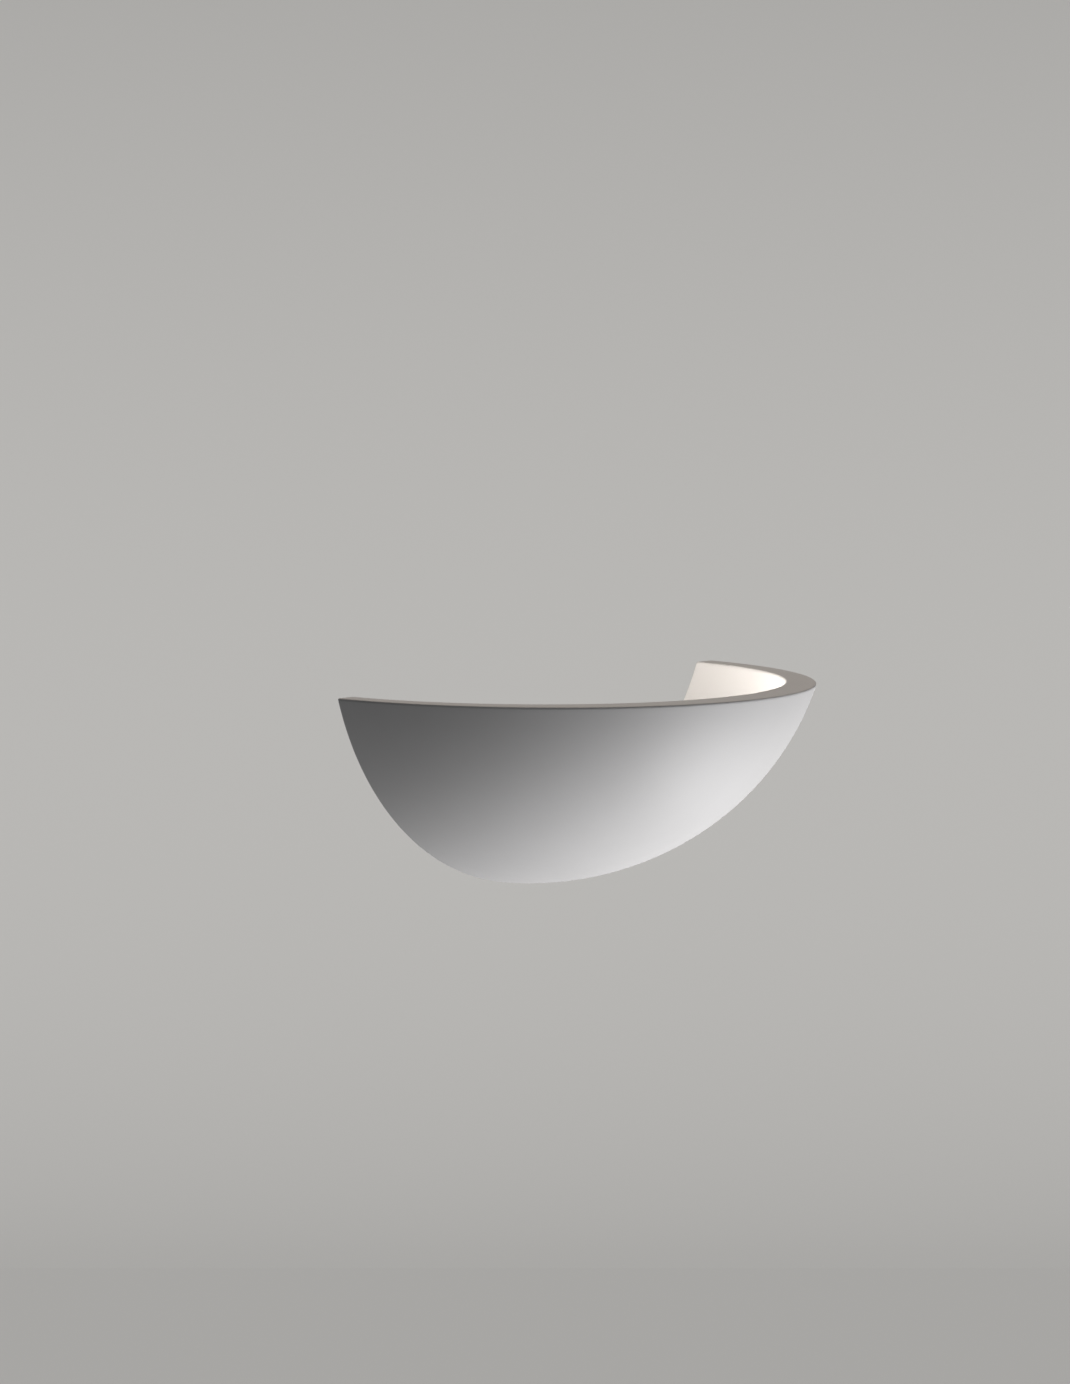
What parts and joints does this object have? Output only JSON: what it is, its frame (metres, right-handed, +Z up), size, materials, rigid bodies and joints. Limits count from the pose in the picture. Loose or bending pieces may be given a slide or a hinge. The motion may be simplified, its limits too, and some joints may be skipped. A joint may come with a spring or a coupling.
{
  "type": "wall uplighter",
  "caption": "Wall uplighter: a thick plaster quarter-bowl, open at the top, hung by keyholes on a wall plate that carries a linear lamp in a reflector under hinged glass.",
  "frame": {"origin": "middle of the two fixing slots, on the wall face of the wall plate", "axes": "+X to the right along the wall as seen from the room, -Y out of the wall into the room, +Z up"},
  "size_m": [0.2996, 0.1698, 0.113],
  "materials": {
    "plaster": "smooth matt",
    "steel_zinc": "zinc plated",
    "steel_painted": "powder coated white",
    "plug_plastic": "moulded",
    "rubber": "soft matt",
    "ceramic": "unglazed",
    "brass": "turned",
    "nickel": "nickel plated",
    "spring_steel": "drawn wire",
    "fibre": "pressed insulating fibre",
    "bright_aluminium": "bright rolled",
    "quartz": "clear",
    "glass": "clear toughened",
    "foil": "rolled foil",
    "tungsten": "drawn wire",
    "sleeve": "woven heat-proof sleeve"
  },
  "bodies": {
    "mount_body": {"wall_plate": "steel_painted", "hanger_studs": "steel_zinc", "cable_bush": "rubber", "terminal_block": "ceramic", "terminal_tubes": "brass", "terminal_screws": "steel_zinc", "block_screw": "steel_zinc", "earth_stud": "brass", "earth_washer": "steel_zinc", "earth_saddle": "steel_zinc", "earth_nut": "brass", "support_arm": "steel_painted", "arm_screws": "steel_zinc", "lamp_bracket": "steel_painted", "bracket_rivets": "bright_aluminium", "reflector": "bright_aluminium", "holder_left": "ceramic", "holder_right": "ceramic", "holder_rivets": "nickel", "insulating_washers": "fibre", "contact_fixed": "nickel", "contact_seat": "nickel", "contact_spring": "spring_steel", "lead_left": "sleeve", "lead_right": "sleeve", "hinge_pin": "steel_zinc"},
    "plunger": {"contact_plunger": "nickel"},
    "lamp": {"lamp_tube": "quartz", "lamp_caps": "ceramic", "lamp_contacts": "nickel", "lamp_foils": "foil", "lamp_filament": "tungsten"},
    "glass_door": {"glass_frame": "bright_aluminium", "safety_glass": "glass"},
    "bowl": {"shell": "plaster", "hanger_plate_left": "steel_zinc", "hanger_plate_right": "steel_zinc", "hanger_plugs": "plug_plastic", "hanger_screws": "steel_zinc", "wall_bumpers": "rubber"}
  },
  "joints": [
    {"name": "bowl_lift", "type": "slide", "parent": "mount_body", "child": "bowl", "axis": [0, 0, 1], "range_m": [0, 0.008]},
    {"name": "glass_hinge", "type": "hinge", "parent": "mount_body", "child": "glass_door", "pos_m": [0, -0.00855, 0.02705], "axis": [-1, 0, 0], "range_deg": [0, 90]},
    {"name": "lamp_release", "type": "slide", "parent": "mount_body", "child": "lamp", "axis": [1, 0, 0], "range_m": [0, 0.0035], "stiffness_N_per_m": 1500, "springref_m": -0.004},
    {"name": "contact_slide", "type": "slide", "parent": "mount_body", "child": "plunger", "axis": [1, 0, 0], "range_m": [0, 0.0035], "deforming": ["contact_spring"]}
  ],
  "couplings": [
    {"joint": "contact_slide", "follows": "lamp_release", "ratio": 1}
  ]
}
